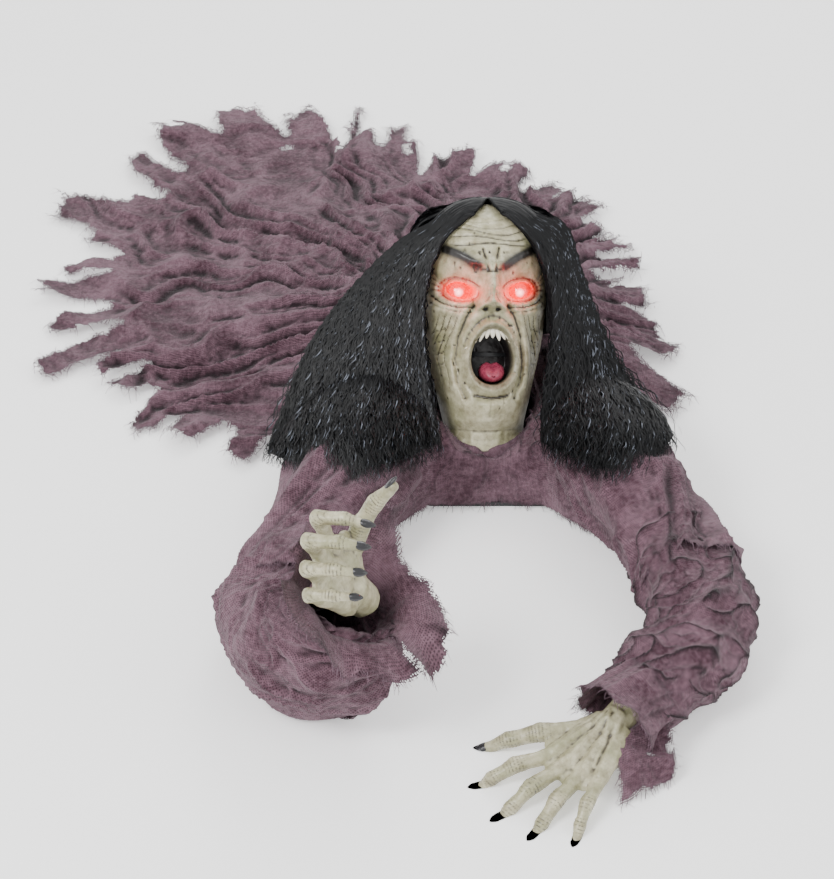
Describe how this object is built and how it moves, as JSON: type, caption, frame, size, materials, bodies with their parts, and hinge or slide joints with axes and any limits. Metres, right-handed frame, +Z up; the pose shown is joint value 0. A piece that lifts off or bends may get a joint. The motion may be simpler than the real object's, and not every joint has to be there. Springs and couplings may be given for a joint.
{
  "type": "animated witch figure",
  "caption": "Crawling witch figure for the ground: screaming head with glowing eyes and long crimped hair, one clawed hand raised, one on the floor, ragged gauze robe spread behind.",
  "frame": {"origin": "on the floor under the base tray, a little behind the neck joint", "axes": "+Z up, -Y the way the face looks, +X to the figure's left hand"},
  "size_m": [0.8309, 1.4017, 0.3185],
  "materials": {
    "black_plastic": "fine moulded texture",
    "cell_jacket": "printed film jacket, no marks",
    "contact_steel": "plated",
    "board": "solder resist",
    "speaker_cone": "pulp cone",
    "red_plastic": "moulded",
    "sensor_can": "satin",
    "frame_steel": "drawn wire and strip",
    "gear_nylon": "natural nylon",
    "painted_vinyl": "moulded soft vinyl, pale green-grey with a dark wash, semi-gloss",
    "mouth_paint": "dark painted vinyl",
    "tooth": "glossy",
    "tongue_vinyl": "wet-look paint",
    "red_lens": "clear red moulding, lit from behind",
    "eye_led": "lit",
    "wig_fibre": "crimped synthetic fibre with a cool sheen",
    "cap_cloth": "knitted net",
    "pad_foam": "polyester wadding",
    "robe_gauze": "loosely woven gauze with frayed edges",
    "lead_sheath": "matt"
  },
  "bodies": {
    "base": {"base_tray": "black_plastic", "battery_cells": "cell_jacket", "battery_contacts": "contact_steel", "electronics_case": "black_plastic", "circuit_board": "board", "speaker": "speaker_cone", "case_lid": "black_plastic", "case_screws": "contact_steel", "sensor_holder": "black_plastic", "sound_sensor": "sensor_can", "neck_bracket": "frame_steel", "neck_bush": "gear_nylon", "gear_motor": "sensor_can", "shoulder_yoke": "frame_steel", "right_shoulder_pin": "frame_steel", "left_shoulder_pin": "frame_steel", "right_shoulder_pad": "pad_foam", "left_shoulder_pad": "pad_foam", "robe_body": "robe_gauze", "robe_collar": "robe_gauze", "skirt": "robe_gauze", "head_lead": "lead_sheath"},
    "head": {"sector_gear": "gear_nylon", "neck_tube": "frame_steel", "head_plate": "black_plastic", "face_shell": "painted_vinyl", "skull_shell": "painted_vinyl", "mouth_lining": "mouth_paint", "upper_teeth": "tooth", "tongue": "tongue_vinyl", "right_eye_lens": "red_lens", "left_eye_lens": "red_lens", "right_eye_light": "eye_led", "left_eye_light": "eye_led", "wig_cap": "cap_cloth", "hair_right": "wig_fibre", "hair_left": "wig_fibre", "hair_back": "wig_fibre", "eye_lead": "lead_sheath"},
    "pinion": {"drive_pinion": "gear_nylon"},
    "right_upper_arm": {"right_upper_rod": "frame_steel", "right_upper_sleeve": "robe_gauze"},
    "right_forearm": {"right_fore_rod": "frame_steel", "right_elbow_pin": "frame_steel", "right_lower_sleeve": "robe_gauze", "right_cuff": "robe_gauze"},
    "right_hand_body": {"right_hand": "painted_vinyl"},
    "left_upper_arm": {"left_upper_rod": "frame_steel", "left_upper_sleeve": "robe_gauze"},
    "left_forearm": {"left_fore_rod": "frame_steel", "left_elbow_pin": "frame_steel", "left_lower_sleeve": "robe_gauze", "left_cuff": "robe_gauze"},
    "left_hand_body": {"left_hand": "painted_vinyl"},
    "door": {"battery_door": "black_plastic"},
    "switch": {"power_switch": "black_plastic"},
    "button": {"try_button": "red_plastic"}
  },
  "joints": [
    {"name": "head_turn", "type": "hinge", "parent": "base", "child": "head", "pos_m": [-0.004, -0.048, 0.046], "axis": [0, 0.6293, 0.7771], "range_deg": [-25, 25], "deforming": ["hair_right", "hair_left", "hair_back"]},
    {"name": "pinion_spin", "type": "hinge", "parent": "base", "child": "pinion", "pos_m": [0.028, -0.048, 0.046], "axis": [0, 0.6293, 0.7771], "range_deg": [-76, 76]},
    {"name": "right_shoulder_swing", "type": "hinge", "parent": "base", "child": "right_upper_arm", "pos_m": [-0.12, -0.09, 0.058], "axis": [0, 0, 1], "range_deg": [-10, 10]},
    {"name": "right_elbow_bend", "type": "hinge", "parent": "right_upper_arm", "child": "right_forearm", "pos_m": [-0.21403, -0.34835, 0.052], "axis": [-0.7201, 0.247, 0.6485], "range_deg": [-10, 10]},
    {"name": "right_wrist_turn", "type": "hinge", "parent": "right_forearm", "child": "right_hand_body", "pos_m": [-0.14164, -0.45174, 0.17177], "axis": [0.4161, -0.5942, 0.6884], "range_deg": [-20, 20]},
    {"name": "left_shoulder_swing", "type": "hinge", "parent": "base", "child": "left_upper_arm", "pos_m": [0.12, -0.09, 0.058], "axis": [0, 0, 1], "range_deg": [-10, 10]},
    {"name": "left_elbow_bend", "type": "hinge", "parent": "left_upper_arm", "child": "left_forearm", "pos_m": [0.22521, -0.34401, 0.052], "axis": [0.0169, 0.0306, -0.9994], "range_deg": [-10, 10]},
    {"name": "left_wrist_turn", "type": "hinge", "parent": "left_forearm", "child": "left_hand_body", "pos_m": [0.13178, -0.49067, 0.04593], "axis": [-0.537, -0.8429, -0.0349], "range_deg": [-10, 10]},
    {"name": "battery_door_slide", "type": "slide", "parent": "base", "child": "door", "axis": [0, 1, 0], "range_m": [0, 0.03]},
    {"name": "power_switch_slide", "type": "slide", "parent": "base", "child": "switch", "axis": [0, 1, 0], "range_m": [0, 0.004]},
    {"name": "try_button_press", "type": "slide", "parent": "base", "child": "button", "axis": [-1, 0, 0], "range_m": [0, 0.0018], "stiffness_N_per_m": 300}
  ],
  "couplings": [
    {"joint": "pinion_spin", "follows": "head_turn", "ratio": -3}
  ]
}
